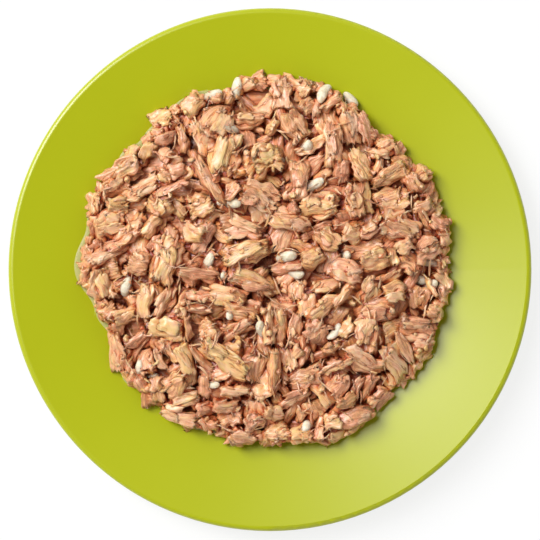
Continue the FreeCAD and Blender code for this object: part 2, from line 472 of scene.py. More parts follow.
def put(points, spot, fit, lift):
    """Carries a bit's points to where it was laid, following the surface's tilt and bend."""
    half, side = spot.length / 2, spot.width / 2
    c, s = math.cos(spot.heading), math.sin(spot.heading)
    forward = np.array([c, s, fit[1] / half])
    forward /= np.linalg.norm(forward)
    sideways = np.array([-s, c, fit[2] / side])
    sideways -= forward * forward.dot(sideways)
    sideways /= np.linalg.norm(sideways)
    upward = np.cross(forward, sideways)
    bent = points[:, 2] + lift + fit[3] * (points[:, 0] / half) ** 2
    return (np.array([spot.x, spot.y, fit[0]]) + points[:, :1] * forward + points[:, 1:2] * sideways
            + bent[:, None] * upward)


# ---- materials
FLESH_HUES = ((0.2, (255, 185, 147)), (0.5, (255, 193, 144)), (0.8, (255, 199, 130)))  # pink to tan
# The flesh's lightness from its furrows to its ridges, partly random mottling and partly painted shade and
# light; then painted shade by how much sky a point sees.
FLESH_LIGHTS = ((0.1, (0.66, 0.54, 0.46)), (0.4, (0.93, 0.86, 0.81)),
                (0.62, (1.03, 1.04, 1.05)), (0.95, (1.06, 1.13, 1.2)))
# Painted shade: darker and redder where a point sees little sky, dark red in the gaps.
FLESH_PAINTED_SHADE = ((0.1, (0.13, 0.007, 0.001)), (0.27, (0.46, 0.1, 0.022)), (0.43, (0.85, 0.57, 0.39)),
                (0.58, (1, 0.94, 0.88)), (0.8, (1, 1, 1)))
FLESH_BROWN = (0.75, 0.6, 0.42)  # tint of the browned spots
BROWN_FROM, BROWN_RISE = 0.6, 5.0  # where in their noise they start, and how sharply
RICE_WHITES = ((0.35, (224, 209, 178)), (0.65, (253, 243, 222)))
# Painted shade of the rice, by how much sky a grain sees.
RICE_PAINTED_SHADE = ((0.0, (0.4, 0.22, 0.12)), (0.8, (1, 1, 1)))
PLATE_COLOUR = (0.448, 0.489, 0.0005)
PLATE_PALER = 1.03  # the brightest of the glaze, in shares of that
PLATE_ROUGHNESS = 0.26
JUICE_COLOUR = (250, 240, 190)
ANY_WAY = (1, 1, 1)  # noise that isn't stretched


class Nodes:
    """Shorthand for building the node tree of a material or a world."""

    def __init__(self, owner, shader="Principled BSDF"):
        self.owner = owner
        owner.use_nodes = True
        self.tree = owner.node_tree
        self.shader = self.tree.nodes[shader]

    def node(self, kind, **settings):
        made = self.tree.nodes.new(kind)
        for name, value in settings.items():
            setattr(made, name, value)
        return made

    def link(self, source, target):
        self.tree.links.new(source, target)

    def feed(self, socket, given):
        """Sets a socket, or links it to another."""
        if isinstance(given, (int, float)):
            socket.default_value = given
        elif isinstance(given, tuple):
            socket.default_value = (*given, 1)[:len(socket.default_value)]
        else:
            self.link(given, socket)

    def value(self, name):
        """A mesh attribute."""
        return self.node("ShaderNodeAttribute", attribute_name=name)

    def place(self, kind="Object"):
        return self.node("ShaderNodeTexCoord").outputs[kind]

    def third(self, vector):
        """The Z of a vector."""
        made = self.node("ShaderNodeSeparateXYZ")
        self.link(vector, made.inputs[0])
        return made.outputs["Z"]

    def math(self, operation, a, b, clamp=False):
        made = self.node("ShaderNodeMath", operation=operation, use_clamp=clamp)
        self.feed(made.inputs[0], a)
        self.feed(made.inputs[1], b)
        return made.outputs[0]

    def blend(self, *parts):
        """The sum of (share, value) parts, each taken about 0.5, so that it stays about 0.5."""
        total = 0.5
        for share, given in parts:
            total = self.math("ADD", self.math("MULTIPLY", self.math("SUBTRACT", given, 0.5), share), total)
        return total

    def noise(self, vector, scale, detail=3.0, rough=0.55, stretch=ANY_WAY, distortion=0.0):
        mapping = self.node("ShaderNodeMapping")
        mapping.inputs["Scale"].default_value = stretch
        self.link(vector, mapping.inputs["Vector"])
        made = self.node("ShaderNodeTexNoise")
        given = dict(Scale=scale, Detail=detail, Roughness=rough, Distortion=distortion)
        for name, value in given.items():
            made.inputs[name].default_value = value
        self.link(mapping.outputs[0], made.inputs["Vector"])
        return made.outputs["Fac"]

    def ramp(self, fac, stops):
        made = self.node("ShaderNodeValToRGB")
        while len(made.color_ramp.elements) < len(stops):
            made.color_ramp.elements.new(0.5)
        for element, (place, colour) in zip(made.color_ramp.elements, stops):
            element.position = place
            element.color = (*colour, 1)
        self.link(fac, made.inputs["Fac"])
        return made.outputs["Color"]

    def mix(self, fac, a, b, blend="MIX"):
        made = self.node("ShaderNodeMix", data_type="RGBA", blend_type=blend)
        for socket, given in ((made.inputs[0], fac), (made.inputs[6], a), (made.inputs[7], b)):
            self.feed(socket, given)
        return made.outputs[2]

    def tint(self, colour, by):
        return self.mix(1.0, colour, by, "MULTIPLY")

    def bump(self, height, strength, distance):
        """Fine relief. The distance is in metres."""
        made = self.node("ShaderNodeBump")
        made.inputs["Strength"].default_value = strength
        made.inputs["Distance"].default_value = distance
        self.link(height, made.inputs["Height"])
        self.link(made.outputs[0], self.shader.inputs["Normal"])

    def set(self, **values):
        """Feeds the shader's own sockets."""
        for name, value in values.items():
            self.feed(self.shader.inputs[name.replace("_", " ")], value)


def srgb(r, g, b):
    """A colour given as it looks on a screen, from 0 to 255, as linear values."""
    return tuple((v / 255 / 12.92) if v <= 10 else ((v / 255 + 0.055) / 1.055) ** 2.4 for v in (r, g, b))


def screen_stops(stops):
    """A ramp's stops, with colours given as they look on a screen."""
    return [(place, srgb(*colour)) for place, colour in stops]


def flesh_material():
    """Cooked tuna: pink to tan flesh streaked along its fibres, moist, with painted shade that makes it
    dark red in the gaps.
    """
    n = Nodes(bpy.data.materials.new("tuna_flesh"))
    grain = n.value("grain").outputs["Vector"]
    tone = n.value("tone").outputs["Fac"]
    seen = n.value("open").outputs["Fac"]
    place = n.place()
    fibres = n.noise(grain, 1.0, 4, 0.6, (0.15, 1.6, 1.0), 0.3)
    bands = n.noise(grain, 1.0, 2, 0.5, (0.12, 0.7, 1.0))
    patches = n.noise(place, 260, 3, 0.6)
    shades = n.noise(place, 240, 4, 0.6)
    specks = n.noise(place, 1500, 3, 0.7)
    dents = n.noise(place, 620, 4, 0.65)
    browned = n.noise(place, 170, 4, 0.65)
    own = n.node("ShaderNodeTexWhiteNoise", noise_dimensions="1D")
    n.link(n.third(grain), own.inputs["W"])
    hue = n.blend((0.8, patches), (0.9, bands), (0.5, dents), (0.5, tone))
    # lightness: random mottling, and painted shade and light, as the noises that make the bump also darken
    # its furrows and lighten its ridges
    light = n.blend((1.6, shades), (0.4, specks), (3.2, fibres), (0.8, dents), (0.3, tone),
                    (0.7, own.outputs["Value"]))
    brown = n.math("MULTIPLY", n.math("SUBTRACT", browned, BROWN_FROM), BROWN_RISE, clamp=True)
    colour = n.tint(n.ramp(hue, screen_stops(FLESH_HUES)), n.ramp(light, FLESH_LIGHTS))
    colour = n.mix(brown, colour, n.tint(colour, FLESH_BROWN))
    # painted shade from the sky that each point sees
    colour = n.tint(colour, n.ramp(seen, FLESH_PAINTED_SHADE))
    n.set(Base_Color=colour, Roughness=n.math("ADD", n.math("MULTIPLY", patches, 0.5), 0.15))
    n.set(Subsurface_Weight=0.5, Subsurface_Radius=(1.0, 0.8, 0.7), Subsurface_Scale=0.0008, IOR=1.45)
    n.set(Coat_Weight=1.0, Coat_Roughness=0.3, Coat_IOR=1.5)
    n.bump(n.blend((1.8, fibres), (0.3, specks), (0.7, dents)), 0.5, 0.0007)
    return n.owner


def rice_material():
    """Boiled rice: white, slightly translucent, with a soft sheen, and painted shade where a grain sees
    little sky.
    """
    n = Nodes(bpy.data.materials.new("rice_white"))
    cloud = n.noise(n.place(), 700, 3, 0.6)
    seen = n.value("open").outputs["Fac"]
    # painted shade from the sky that each grain sees
    colour = n.tint(n.ramp(cloud, screen_stops(RICE_WHITES)), n.ramp(seen, RICE_PAINTED_SHADE))
    n.set(Base_Color=colour, Roughness=0.5)
    n.set(Subsurface_Weight=0.8, Subsurface_Radius=(1.0, 0.9, 0.75), Subsurface_Scale=0.0012)
    n.bump(cloud, 0.6, 0.0005)
    return n.owner


def plate_material():
    """Lime green glaze, slightly uneven in colour and gloss."""
    n = Nodes(bpy.data.materials.new("plate_lime_glaze"))
    cloud = n.noise(n.place(), 18, 3, 0.5)
    orange_peel = n.noise(n.place(), 420, 2, 0.5)
    paler = tuple(PLATE_PALER * v for v in PLATE_COLOUR)
    n.set(Base_Color=n.ramp(cloud, [(0.35, PLATE_COLOUR), (0.65, paler)]), IOR=1.62,
          Roughness=n.math("ADD", n.math("MULTIPLY", cloud, 0.06), PLATE_ROUGHNESS))
    n.bump(orange_peel, 0.03, 0.0002)
    return n.owner


def juice_material():
    """Clear thin cooking juice: it lets the glaze show through and shines."""
    n = Nodes(bpy.data.materials.new("juice_clear"))
    ripple = n.noise(n.place(), 300, 2, 0.5)
    n.set(Base_Color=srgb(*JUICE_COLOUR), Roughness=0.25, IOR=1.35, Alpha=0.35)
    n.bump(ripple, 0.1, 0.0002)
    return n.owner


# ---- the flakes
# Kinds of flake: their sizes, and rings along them, squareness, taper to the ends and raggedness.
STRIP, CHUNK, SLAB, LEAF = "strip", "chunk", "slab", "leaf"
KINDS = {
    STRIP: dict(length=(9, 18), width=(2.2, 4.2), thick=(1.4, 2.4),
                form=dict(rings=14, box=2.2, taper=0.35, ragged=0.2)),
    CHUNK: dict(length=(5, 10), width=(3.4, 6.4), thick=(1.8, 3.2),
                form=dict(rings=10, box=2.5, taper=0.15, ragged=0.24)),
    SLAB: dict(length=(9, 16), width=(5.5, 8.5), thick=(1.4, 2.4),
               form=dict(rings=14, box=2.6, taper=0.1, ragged=0.22)),
    LEAF: dict(thick=(0.7, 1.1), form=dict(rings=12, box=2.3, taper=0.25, ragged=0.3)),
}
SHRED = dict(fibre=0.9, rings=7, box=2.2, taper=0.85, ragged=0.25, groove=0.2, twist=0.6, wave=0.4)
CRUMB = dict(fibre=0.8, rings=5, box=2.6, taper=0.5, ragged=0.25, groove=0.35, twist=0.8, wave=0.2)
LEAF_SHARE = 38.0  # square millimetres of a top flake for each loose layer on it

# The flakes on top: kind, centre, heading in degrees, length, width, and tone from pink 0 to tan 100.
# Later ones lie on earlier ones.
TOP_FLAKES = (
    # upper left
    (SLAB, -42, 28, 33, 14, 7, 45), (SLAB, -44, 23, 22, 10, 6, 40), (CHUNK, -49.5, 19, 80, 7, 5, 50),
    (CHUNK, -44, 18.5, 10, 8, 5, 80), (STRIP, -30, 38, 20, 8, 3, 5), (CHUNK, -31, 43, 30, 8, 6, 70),
    (CHUNK, -29, 31.5, 60, 5, 4, 15), (STRIP, -25, 37, 100, 10, 3, 60), (CHUNK, -26.5, 28, 20, 6, 4, 10),
    (CHUNK, -22, 47, 45, 8, 5, 55), (STRIP, -16, 46.5, 8, 10, 2.6, 50), (CHUNK, -19.5, 18, 20, 8, 7, 75),
    (CHUNK, -31, 18.5, 10, 9, 6.5, 80), (SLAB, -36.5, 22.5, 30, 13, 5, 60),
    (STRIP, -28, 23, 25, 12, 2.5, 20), (STRIP, -20, 28, -62, 17, 2.6, 30),
    (STRIP, -17, 25, -58, 20, 3.4, 35),
    # upper middle
    (SLAB, -15, 42, 55, 13, 8, 45), (SLAB, -12.5, 33, 78, 14, 8.5, 85), (STRIP, -6, 43, 5, 10, 4, 50),
    (SLAB, 3, 50, 95, 11, 6, 35), (SLAB, 9.5, 51, 70, 9, 5, 45), (CHUNK, -1, 31.5, 8, 12, 8, 95),
    (CHUNK, 7, 41, 118, 11, 7, 65), (STRIP, 1, 41, 60, 7, 3, 60), (CHUNK, 10.5, 46, 40, 6, 5, 50),
    (STRIP, 13, 46, 82, 7, 3, 10), (STRIP, 17, 47.5, 40, 9, 3, 30), (SLAB, 18, 35, 85, 16, 5, 45),
    (SLAB, -3, 20.5, -20, 14, 7.5, 35), (CHUNK, -10, 22, 35, 6, 4, 40), (SLAB, 8, 25, 80, 15, 6, 30),
    (SLAB, 14, 18, 2, 12, 6, 75), (CHUNK, 7, 17.5, 30, 5, 4, 5),
    # upper right
    (SLAB, 23, 41, 102, 12, 5, 30), (STRIP, 27, 40, 107, 12, 3.6, 10), (CHUNK, 33.5, 35.5, 20, 7, 4, 50),
    (STRIP, 36, 33.5, 85, 7, 3.4, 45), (STRIP, 31, 33, 0, 8, 3, 35), (CHUNK, 20.5, 28, 90, 8, 4, 5),
    (SLAB, 25, 29.5, 115, 12, 5, 70), (STRIP, 31, 29, 80, 6, 3, 60), (SLAB, 34, 27, 25, 14, 5, 60),
    (CHUNK, 45, 28, 60, 7, 5, 60), (CHUNK, 41, 25, 110, 8, 5, 30), (SLAB, 24, 19.5, 105, 12, 6, 55),
    (SLAB, 35, 20, 15, 12, 7, 65), (CHUNK, 43.5, 18, 30, 8, 5, 55),
    # left
    (SLAB, -46, 13.5, 10, 10, 7, 50), (STRIP, -34, 12.5, 55, 9, 4, 85), (STRIP, -33, 7, 40, 7, 3, 0),
    (SLAB, -46, 5, 28, 16, 5.5, 30), (STRIP, -41, 8, 35, 12, 3, 25), (CHUNK, -37, 2.5, -10, 8, 6, 50),
    (SLAB, -30, 2.5, 76, 16, 7.5, 60), (SLAB, -48.5, -4, 102, 11, 7, 40), (CHUNK, -46, -12, 40, 6, 5, 25),
    (CHUNK, -41, -13, 20, 9, 5, 65), (SLAB, -35, -9, 82, 12, 4.5, 60), (STRIP, -31, -9, 65, 11, 3, 40),
    (STRIP, -27.5, -8, 68, 11, 3, 30), (STRIP, -25, -10, 75, 10, 4, 60),
    (STRIP, -20.5, -1, -12, 14, 4, 10), (CHUNK, -21, 11, -20, 8, 5, 60), (STRIP, -20, -8, -10, 10, 3, 15),
    (STRIP, -20, -11, -6, 9, 2.6, 20),
    # middle
    (SLAB, -12, -7, -15, 13, 6, 50), (SLAB, -8, 12, -12, 15, 6, 40), (SLAB, 6, 13.5, -15, 14, 6, 45),
    (SLAB, -5, -3.5, -25, 15, 5.5, 50), (SLAB, -7, 5, 15, 17, 6, 80), (STRIP, 5, 1, 10, 11, 3.4, 20),
    (CHUNK, 17, 9, -45, 9, 6, 65), (CHUNK, 12, 3.5, 20, 8, 6, 70), (CHUNK, 8, -6, 80, 7, 5, 50),
    (CHUNK, 4.5, 4.5, 30, 6, 3, 60), (SLAB, -8.5, -12, -20, 11, 6, 70), (SLAB, -11, -17, 25, 16, 4.5, 40),
    (CHUNK, -17, -17.5, 30, 7, 6, 45), (STRIP, 16, -5, 10, 10, 4, 50), (STRIP, 15, -10, 35, 14, 4, 60),
    (STRIP, 20.5, -7, 52, 11, 3, 65), (SLAB, 22, -1, -5, 11, 6.5, 20), (CHUNK, 13, -17, 60, 8, 7, 10),
    (SLAB, -1, -16, 88, 13, 4, 60), (SLAB, 3, -17, 92, 14, 4, 55), (STRIP, 6.5, -17, 85, 12, 3.6, 30),
    # right
    (SLAB, 37, 12, -20, 14, 8, 35), (STRIP, 44, 15, -60, 10, 2, 60), (CHUNK, 48, 13, -20, 7, 4.5, 10),
    (CHUNK, 44.5, 5.5, 20, 9, 7.5, 15), (CHUNK, 38, 7.5, 35, 6, 4, 60), (CHUNK, 29, 3, 10, 10, 6, 70),
    (STRIP, 33.5, -2, 15, 10, 3, 50), (CHUNK, 22.5, 10.5, 0, 7, 5.5, 60), (STRIP, 28, 11, 40, 7, 4, 35),
    (CHUNK, 28, -6, 62, 10, 6, 50), (CHUNK, 35, -6.5, 10, 8, 6, 65), (SLAB, 30, -12, 8, 14, 6, 30),
    (CHUNK, 43, -8, 80, 8, 5.5, 55), (STRIP, 46.5, -5, -65, 8, 2, 60),
    (CHUNK, 46.5, -12.5, -40, 6, 4.5, 50), (SLAB, 42, -17.5, -15, 13, 8, 25),
    (SLAB, 27, -17, 80, 8, 6, 45),
    # lower left
    (SLAB, -43.5, -23.5, 100, 14, 5, 30), (STRIP, -38, -20, 25, 9, 3, 20),
    (SLAB, -29.5, -17, -8, 12, 6.5, 90), (STRIP, -24, -16.5, 96, 9, 2, 50),
    (CHUNK, -34, -26, 70, 7, 5, 10), (STRIP, -31.5, -25.5, -60, 9, 2, 25),
    (SLAB, -24, -25.5, -70, 11, 4.5, 85), (STRIP, -20.5, -25.5, -48, 12, 2.4, 30),
    (SLAB, -33.5, -35, 100, 10, 7, 50), (CHUNK, -26.5, -32.5, 30, 8, 6, 65),
    (STRIP, -18.5, -33, 92, 8, 4, 30), (SLAB, -26, -41.5, -18, 13, 5, 45), (SLAB, -24, -37, 15, 10, 4, 50),
    (CHUNK, -19, -39.5, 10, 7, 4, 5),
    # lower middle
    (CHUNK, -13, -38, 0, 9, 3.4, 25), (SLAB, -12.5, -25.5, -35, 19, 7, 100),
    (STRIP, -10, -34, 5, 10, 4, 50), (CHUNK, -11, -43, 10, 9, 5, 35), (CHUNK, -5, -43, 25, 7, 5, 15),
    (CHUNK, -8, -47, -5, 9, 5, 35), (CHUNK, 4.5, -25, -70, 9, 6, 40), (SLAB, 10, -31, 20, 11, 6, 40),
    (STRIP, 1, -29, 87, 16, 3.4, 65), (STRIP, 6.5, -36, 30, 12, 3, 20), (CHUNK, 2, -46.5, 10, 8, 6, 60),
    (CHUNK, 0, -41, 0, 7, 4, 70), (STRIP, 9, -41, 85, 6, 3, 45), (CHUNK, 9, -47, 0, 8, 5, 70),
    (STRIP, 14.5, -45.5, 80, 9, 3.4, 25),
    # lower right
    (SLAB, 27, -25.5, -25, 14, 6.5, 20), (STRIP, 17.5, -22, 30, 7, 3, 70),
    (CHUNK, 19.5, -33.5, 60, 8, 6, 20), (STRIP, 19, -27, 25, 13, 2, 60), (SLAB, 36, -27, -65, 15, 6.5, 60),
    (STRIP, 38, -22, -65, 13, 3, 45), (SLAB, 44.5, -22, 25, 9, 5, 30), (STRIP, 24, -34, 68, 10, 3, 15),
    (STRIP, 28, -33, 65, 11, 3.4, 30), (CHUNK, 31.5, -36, 50, 8, 4, 30),
    (SLAB, 24, -42.5, 22, 14, 4.5, 30), (CHUNK, 18, -43, 20, 6, 5, 60), (CHUNK, 21, -37, 10, 7, 4, 60),
)

# Rice grains: centre, heading, and the share of the length that lies level, small for one on its end.
RICE = (
    (-41, -4.5, 75, 1.0), (-37, -28, 50, 0.8), (19, -18.5, 50, 1.0), (7, -1.2, 10, 0.8), (4.5, 4, 30, 0.9),
    (-17.5, 2, 52, 0.8), (-13, -2, 0, 0.2), (-11.5, -12.5, 0, 0.2), (21.5, 4, 0, 0.2), (42.3, -2.5, 0, 0.3),
    (-16.5, -33, 90, 0.3), (-2.5, -17, 82, 0.8), (10, -46, 80, 0.9), (-16, 49, 20, 1.0),
    (-9.5, 51.5, 60, 0.8), (15, 50, 60, 1.0), (23, 48, 130, 1.0), (12.5, 24, 30, 0.9), (10.5, 35, 60, 0.8),
)
GRAIN_LENGTH, GRAIN_WIDTH = 6.4, 3.0
GRAIN_SEEN = 1.6  # from its middle to the fibres laid across it
LOOSE_RICE = 9  # grains half hidden under the top flakes

FIELD_MIX = {STRIP: 0.42, CHUNK: 0.36, SLAB: 0.22}  # shares of the kinds under the top flakes
FIELD_UNDER = 3.3  # how far under the surface they stop, for the top flakes
FIELD_SPARE = 0.6  # how far past the outline they may stand out
FIELD_TRIES = 14  # places tried for each
TOP_SPARE = 0.9  # how far past the outline the top flakes may stand out
CRUMBS = 180
LOOSE_SHREDS = 260
EDGE_STEP = 2.0  # degrees between the places tried round the foot
EDGE_LAYERS = 3  # flakes stacked at each, at most
EDGE_UNDER = 1.2  # how far under the surface the stack may end
EDGE_INSET = (1.8, 3.4)  # how far in from the outline their middles lie

CORE_SEED = KEY_SEED + 5
CORE_RINGS, CORE_SPOKES = 90, 300
CORE_INSET = 0.8  # from the outline to the core's edge
CORE_ROUGH = 0.35  # its unevenness
CORE_SUNK = 0.1  # into the plate, at its edge and where it has no height of its own

JUICE_SEED = KEY_SEED + 9
# Where the film of juice shows: middle and half width of the run in degrees, and how far it stands out.
JUICE_RUNS = ((178, 30, 2.2), (214, 20, 1.9), (136, 26, 1.9), (110, 12, 1.4), (243, 12, 1.2), (70, 10, 1.0))
JUICE_INSET = 1.2  # how far under the flakes it ends elsewhere
# Its section: how far out from its edge and how far above the plate.
JUICE_SECTION = ((-2.5, 0.5), (-1.6, 0.45), (-0.8, 0.36), (-0.45, 0.28), (-0.2, 0.19), (-0.05, 0.09),
                 (0.0, 0.0), (0.0, -0.15), (-2.5, -0.15))

# The heap as it builds up, which the functions below add to.
ground = Ground()
flesh_pieces = {STRIP: "flake_strips", CHUNK: "flake_chunks", SLAB: "flake_slabs",
                "shred": "shreds", LEAF: "flake_leaves", "crumb": "crumbs"}
pieces = {kind: Piece(name, "tuna_flakes") for kind, name in flesh_pieces.items()}
pieces["rice"] = Piece("rice_grains", "rice")
pieces["juice"] = Piece("juice_film", "juice")


def lay_bundle(piece, bundle, spot, thick, tone, firm, sink, ends_up=0.0):
    """Lays a bundle on the heap, with its ends so much higher than the ground bends them."""
    points, quads, fans, grain, unshaded = bundle
    fit = ground.lay(spot, firm, sink)
    fit[3] += ends_up
    points = ground.settle(put(points, spot, fit, thick / 2), fit)
    piece.add(points, quads, fans, grain, tone, unshaded)
    return fit


def lay_flake(kind, spot, thick, tone, sink=0.35, shreds=1):
    """One flake, with a few loose fibres along it."""
    bundle = fibre_bundle(spot.length, spot.width, thick, fibre=between(0.6, 0.85),
                          groove=between(0.15, 0.42), twist=between(-0.45, 0.45),
                          turn=between(-0.7, 0.7), cup=between(-0.6, 0.6), **KINDS[kind]["form"])
    fit = lay_bundle(pieces[kind], bundle, spot, thick, tone, firm=0.72, sink=sink)
    ground.cover(spot, thick, fit)
    for _ in range(shreds):
        length = between(0.25, 0.75) * spot.length
        out = between(-0.5, 0.5) * spot.length
        aside = between(-0.45, 0.45) * spot.width
        heading = spot.heading + chance.normal(0, 0.35)
        lay_shred(*spot.beside(out, aside), heading, length, tone)


def lay_shred(x, y, heading, length, tone):
    """A loose fibre or a few, unless it would lie at the very edge."""
    if math.hypot(x, y) > ground.reach(x, y) - 1.0:
        return
    thin = between(0.2, 0.55)
    bundle = fibre_bundle(length, thin * 1.4, thin, turn=between(-1.2, 1.2), **SHRED)
    spot = Spot(x, y, heading, length, thin * 2)
    lay_bundle(pieces["shred"], bundle, spot, thin, tone, firm=0.8, sink=0.1,
               ends_up=between(-0.05, 0.03) * length)


def emptiest(tries, margin):
    """The random place, of so many tried, where the heap lies furthest under its outer surface."""
    angle = between(0, 2 * math.pi, tries)
    reach = ground.far[np.degrees(angle).astype(int) % 360] - margin
    out = np.sqrt(chance.random(tries)) * reach
    x, y = out * np.cos(angle), out * np.sin(angle)
    where = ground.index(x, y)
    best = int(np.argmax(ground.target[where] - ground.height[where]))
    return x[best], y[best]


def random_tone(middle=0.42, spread_out=0.22):
    return float(np.clip(chance.normal(middle, spread_out), 0, 1))


def lay_field():
    """Random flakes where the heap lies lowest, until only the top flakes are missing."""
    kinds, shares = list(FIELD_MIX), list(FIELD_MIX.values())
    while ground.lack() > FIELD_UNDER:
        kind = kinds[chance.choice(len(kinds), p=shares)]
        length, width, thick = (between(*KINDS[kind][size]) for size in ("length", "width", "thick"))
        x, y = emptiest(FIELD_TRIES, FIELD_SPARE)
        spot = Spot(x, y, between(0, math.pi), length, width)
        for _ in range(6):
            if ground.holds(spot, FIELD_SPARE):
                break
            spot = spot._replace(heading=spot.heading + math.pi / 6, length=spot.length * 0.93)
        lay_flake(kind, spot, thick, random_tone())


def lay_leaves(spot, tone):
    """The thin layers that have come loose on top of a flake, lying along it."""
    for _ in range(round(spot.length * spot.width / LEAF_SHARE)):
        length, width = spot.length * between(0.45, 0.9), spot.width * between(0.35, 0.7)
        out = between(-0.5, 0.5) * (spot.length - length)
        aside = between(-0.5, 0.5) * (spot.width - width)
        own = Spot(*spot.beside(out, aside), spot.heading + chance.normal(0, 0.16), length, width)
        thick = between(*KINDS[LEAF]["thick"])
        lay_flake(LEAF, own, thick, tone + chance.normal(0, 0.12), shreds=0)


def lay_top():
    """The flakes that are seen whole, each in its own place."""
    for kind, x, y, heading, length, width, tone in TOP_FLAKES:
        thick = between(*KINDS[kind]["thick"])
        spot = Spot(x, y, math.radians(heading), length, width)
        while not ground.holds(spot, TOP_SPARE):
            spot = spot._replace(x=spot.x * 0.99, y=spot.y * 0.99, length=spot.length * 0.98)
        lay_flake(kind, spot, thick, tone / 100, sink=0.2)
        lay_leaves(spot, tone / 100)


def lay_edge():
    """Small flakes stacked round the foot of the heap, which ends in a steep side."""
    for degree in np.arange(0, 360, EDGE_STEP):
        for _ in range(EDGE_LAYERS):
            angle = math.radians(degree + between(-0.5, 0.5) * EDGE_STEP)
            out = ground.far[int(math.degrees(angle) % 360)] - between(*EDGE_INSET)
            x, y = out * math.cos(angle), out * math.sin(angle)
            where = ground.index(np.array(x), np.array(y))
            if ground.height[where] > ground.target[where] - EDGE_UNDER:
                break
            heading = angle + math.pi / 2 + chance.normal(0, 0.6)
            spot = Spot(x, y, heading, between(4, 8.5), between(2.8, 4.2))
            lay_flake(CHUNK, spot, between(1.4, 2.4), random_tone())


def lay_crumbs():
    """Crumbs of flesh, short bits of bundle."""
    for _ in range(CRUMBS):
        x, y = emptiest(1, 0.4)
        length = between(0.9, 3.0)
        width = length * between(0.4, 0.8)
        thick = width * between(0.5, 0.9)
        bundle = fibre_bundle(length, width, thick, turn=between(-1, 1), **CRUMB)
        spot = Spot(x, y, between(0, math.pi), length, width)
        tone = random_tone(0.55, 0.28)
        lay_bundle(pieces["crumb"], bundle, spot, thick, tone, firm=0.6, sink=0.15)


def lay_loose_shreds():
    """Single fibres lying anyhow on the flakes."""
    for _ in range(LOOSE_SHREDS):
        x, y = emptiest(2, 1.5)
        heading, length = between(0, math.pi), between(2.5, 8)
        lay_shred(x, y, heading, length, random_tone())


def rice_grain(length, width):
    """A swollen grain, a little bent and flattened, with a shallow groove along it."""
    rings, count = 14, 14
    u = np.linspace(0, 1, rings)
    along = -0.5 * np.cos(math.pi * u)
    round_off = np.clip(1 - (2 * np.abs(along)) ** 2.6, 0, 1) ** 0.5
    angle = np.linspace(0, 2 * math.pi, count, endpoint=False)
    swell = 1 + smooth_line(rings, 5, 0.07)
    groove = 0.07 * np.exp(-((angle - 1.6) / 0.5) ** 2)
    radius = width / 2 * (round_off * swell)[:, None] * (1 - groove)
    x = np.repeat(along * length, count).reshape(rings, count)
    bend = between(-0.25, 0.25) * width
    y = radius * np.cos(angle) + bend * (2 * along[:, None]) ** 2
    z = radius * np.sin(angle) * between(0.78, 0.92)
    points = np.stack([x, y, z], 2)
    for end, beside in ((0, 1), (-1, -2)):
        points[end] = points[end].mean(0) + (points[beside] - points[beside].mean(0)) * 0.12
    points = np.vstack([points.reshape(-1, 3), points[0].mean(0), points[-1].mean(0)])
    return points, *tube_faces(rings, count), points[:, :2].copy()


def scattered_rice():
    """Places of grains like those in RICE, but anywhere."""
    for _ in range(LOOSE_RICE):
        x, y = emptiest(1, 3.0)
        yield x, y, between(0, 180), between(0.2, 1.0)


def lay_rice(places):
    """Rice grains, whole ones lying on the flakes and others sunk on end between them."""
    for x, y, heading, level in places:
        length = GRAIN_LENGTH * between(0.9, 1.08)
        width = GRAIN_WIDTH * between(0.92, 1.08)
        points, quads, fans, grain = rice_grain(length, width)
        tip = math.acos(level) * 0.96
        turned = points.copy()
        turned[:, 0] = points[:, 0] * math.cos(tip) - points[:, 2] * math.sin(tip)
        turned[:, 2] = points[:, 0] * math.sin(tip) + points[:, 2] * math.cos(tip)
        spot = Spot(x, y, math.radians(heading), max(length * level, width), width)
        fit = ground.lay(spot, firm=0.4, sink=0.9)
        lift = width * 0.42 - length / 2 * math.sin(tip) * 0.55
        put_down = put(turned, spot, fit, lift)
        over = (put_down[:, 2] - ground.limit[ground.index(put_down[:, 0], put_down[:, 1])]).max()
        put_down[:, 2] -= max(over, 0)
        pieces["rice"].add(put_down, quads, fans, grain, 0.5)
        for _ in range(2):
            angle = between(0, 2 * math.pi)
            place = x + GRAIN_SEEN * math.cos(angle), y + GRAIN_SEEN * math.sin(angle)
            across = angle + chance.normal(1.57, 0.5)
            lay_shred(*place, across, between(2.5, 5), random_tone())
        ground.cover(spot, width * 0.7, fit)


def make_core():
    """The inside of the heap, seen in the gaps between flakes, dark from real shade and from the flesh's
    painted shade.
    """
    rings, spokes = CORE_RINGS, CORE_SPOKES
    angle = np.linspace(0, 2 * math.pi, spokes, endpoint=False)
    far = np.interp(np.degrees(angle), np.arange(361), np.r_[ground.far, ground.far[0]]) - CORE_INSET
    share = np.linspace(0, 1, rings + 1)[1:]
    r = share[:, None] * far[None, :]
    x, y = r * np.cos(angle), r * np.sin(angle)
    where = ground.index(x, y)
    lump = np.random.default_rng(CORE_SEED).normal(0, CORE_ROUGH, r.shape)
    z = ground.core[where] + lump * (1 - share[:, None] ** 8)
    low = ground.core[where] < ground.plate[where] + CORE_SUNK
    low[-1] = True
    z = np.where(low, ground.plate[where] - CORE_SUNK, z)
    middle = ground.core[ground.index(np.array(0.0), np.array(0.0))]
    points = np.vstack([np.stack([x, y, z], 2).reshape(-1, 3), [[0, 0, middle]]])
    side = np.arange(spokes)
    fans = np.stack([np.full(spokes, rings * spokes), side, (side + 1) % spokes], 1)
    piece = Piece("heap_core", "tuna_flakes")
    piece.add(points, ring_quads(rings, spokes), fans, points[:, :2], 0.2)
    return piece


def juice_reach(degree):
    """How far the film of juice stands out there."""
    total = 0.0
    for middle, half, far in JUICE_RUNS:
        off = abs((degree - middle + 180) % 360 - 180) / half
        total = max(total, far * rounded(off) ** 0.5)
    return total


